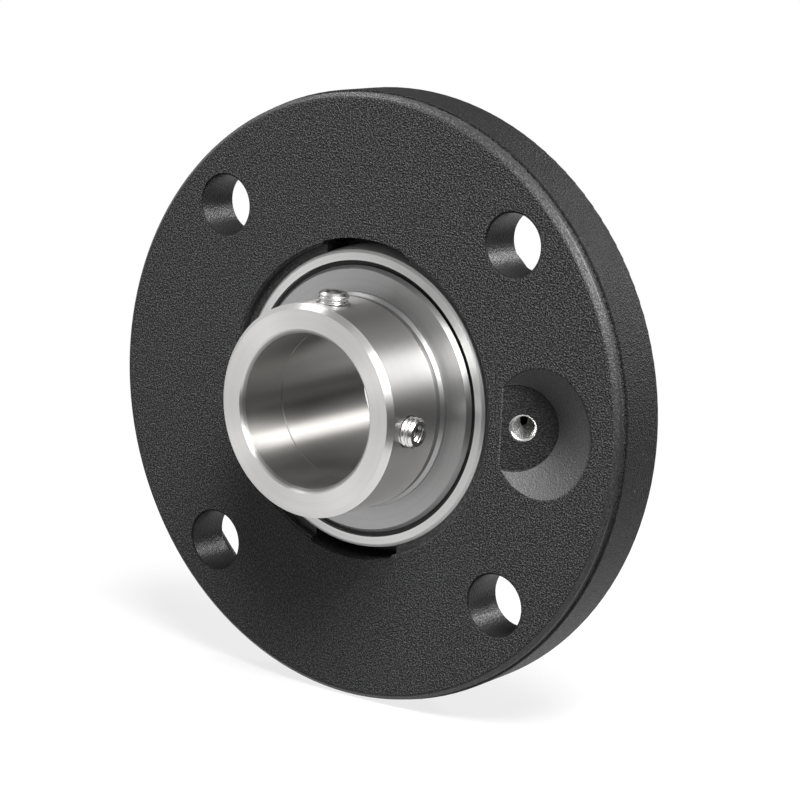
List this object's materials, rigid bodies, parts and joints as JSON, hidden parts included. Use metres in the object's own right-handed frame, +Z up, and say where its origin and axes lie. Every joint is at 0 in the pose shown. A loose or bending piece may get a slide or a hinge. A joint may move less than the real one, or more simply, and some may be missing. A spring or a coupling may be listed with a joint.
{
  "type": "flanged bearing unit",
  "caption": "Round flanged bearing housing with a centring spigot and a self-aligning insert ball bearing, locked on the shaft by set screws in its long inner ring.",
  "frame": {"origin": "on the bore axis, in the plane of the flange's mounting face", "axes": "+Y along the bore axis, out of the mounting face on the spigot side; -Y is the nose side; +Z up, towards one loading slot; +X towards the lubrication pocket"},
  "size_m": [0.16, 0.053, 0.16],
  "materials": {
    "cast_housing": "fine-grained black coated casting, satin",
    "ring_steel": "ground bearing steel",
    "nose_steel": "turned and ground steel, bright",
    "ball_steel": "polished bearing steel",
    "cage_steel": "pressed sheet steel",
    "seal_plate": "pressed sheet steel",
    "seal_rubber": "black nitrile rubber",
    "flinger_steel": "pressed stainless sheet, satin",
    "screw_steel": "bright plated steel"
  },
  "bodies": {
    "housing": {"flange_housing": "cast_housing"},
    "outer_race": {"outer_ring": "ring_steel", "front_seal_carrier": "seal_plate", "front_seal_lip": "seal_rubber", "rear_seal_carrier": "seal_plate", "rear_seal_lip": "seal_rubber"},
    "inner_race": {"inner_ring": "nose_steel", "front_flinger": "flinger_steel", "rear_flinger": "flinger_steel"},
    "cage": {"cage_front_half": "cage_steel", "cage_rear_half": "cage_steel", "cage_rivets": "cage_steel"},
    "ball_1": {"ball_1": "ball_steel"},
    "ball_2": {"ball_2": "ball_steel"},
    "ball_3": {"ball_3": "ball_steel"},
    "ball_4": {"ball_4": "ball_steel"},
    "ball_5": {"ball_5": "ball_steel"},
    "ball_6": {"ball_6": "ball_steel"},
    "ball_7": {"ball_7": "ball_steel"},
    "ball_8": {"ball_8": "ball_steel"},
    "ball_9": {"ball_9": "ball_steel"},
    "set_screw_1": {"set_screw_1": "screw_steel"},
    "set_screw_2": {"set_screw_2": "screw_steel"}
  },
  "joints": [
    {"name": "seat_swivel", "type": "hinge", "parent": "housing", "child": "outer_race", "pos_m": [0, -0.0074, 0], "axis": [0, 0, 1], "range_deg": [-5, 5]},
    {"name": "shaft_spin", "type": "hinge", "parent": "outer_race", "child": "inner_race", "pos_m": [0, -0.0074, 0], "axis": [0, 1, 0], "continuous": true},
    {"name": "cage_spin", "type": "hinge", "parent": "outer_race", "child": "cage", "pos_m": [0, -0.0074, 0], "axis": [0, 1, 0], "continuous": true},
    {"name": "ball_1_roll", "type": "hinge", "parent": "cage", "child": "ball_1", "pos_m": [0.0302, -0.0074, 0], "axis": [0, 1, 0], "continuous": true},
    {"name": "ball_2_roll", "type": "hinge", "parent": "cage", "child": "ball_2", "pos_m": [0.02313, -0.0074, 0.01941], "axis": [0, 1, 0], "continuous": true},
    {"name": "ball_3_roll", "type": "hinge", "parent": "cage", "child": "ball_3", "pos_m": [0.00524, -0.0074, 0.02974], "axis": [0, 1, 0], "continuous": true},
    {"name": "ball_4_roll", "type": "hinge", "parent": "cage", "child": "ball_4", "pos_m": [-0.0151, -0.0074, 0.02615], "axis": [0, 1, 0], "continuous": true},
    {"name": "ball_5_roll", "type": "hinge", "parent": "cage", "child": "ball_5", "pos_m": [-0.02838, -0.0074, 0.01033], "axis": [0, 1, 0], "continuous": true},
    {"name": "ball_6_roll", "type": "hinge", "parent": "cage", "child": "ball_6", "pos_m": [-0.02838, -0.0074, -0.01033], "axis": [0, 1, 0], "continuous": true},
    {"name": "ball_7_roll", "type": "hinge", "parent": "cage", "child": "ball_7", "pos_m": [-0.0151, -0.0074, -0.02615], "axis": [0, 1, 0], "continuous": true},
    {"name": "ball_8_roll", "type": "hinge", "parent": "cage", "child": "ball_8", "pos_m": [0.00524, -0.0074, -0.02974], "axis": [0, 1, 0], "continuous": true},
    {"name": "ball_9_roll", "type": "hinge", "parent": "cage", "child": "ball_9", "pos_m": [0.02313, -0.0074, -0.01941], "axis": [0, 1, 0], "continuous": true},
    {"name": "set_screw_1_travel", "type": "slide", "parent": "inner_race", "child": "set_screw_1", "axis": [0.9976, 0, -0.0698], "range_m": [-0.0028, 0.004]},
    {"name": "set_screw_2_travel", "type": "slide", "parent": "inner_race", "child": "set_screw_2", "axis": [0.0698, 0, 0.9976], "range_m": [-0.0028, 0.004]}
  ],
  "couplings": [
    {"joint": "cage_spin", "follows": "shaft_spin", "ratio": 0.40149},
    {"joint": "ball_1_roll", "follows": "shaft_spin", "ratio": -2.4393},
    {"joint": "ball_2_roll", "follows": "shaft_spin", "ratio": -2.4393},
    {"joint": "ball_3_roll", "follows": "shaft_spin", "ratio": -2.4393},
    {"joint": "ball_4_roll", "follows": "shaft_spin", "ratio": -2.4393},
    {"joint": "ball_5_roll", "follows": "shaft_spin", "ratio": -2.4393},
    {"joint": "ball_6_roll", "follows": "shaft_spin", "ratio": -2.4393},
    {"joint": "ball_7_roll", "follows": "shaft_spin", "ratio": -2.4393},
    {"joint": "ball_8_roll", "follows": "shaft_spin", "ratio": -2.4393},
    {"joint": "ball_9_roll", "follows": "shaft_spin", "ratio": -2.4393}
  ]
}
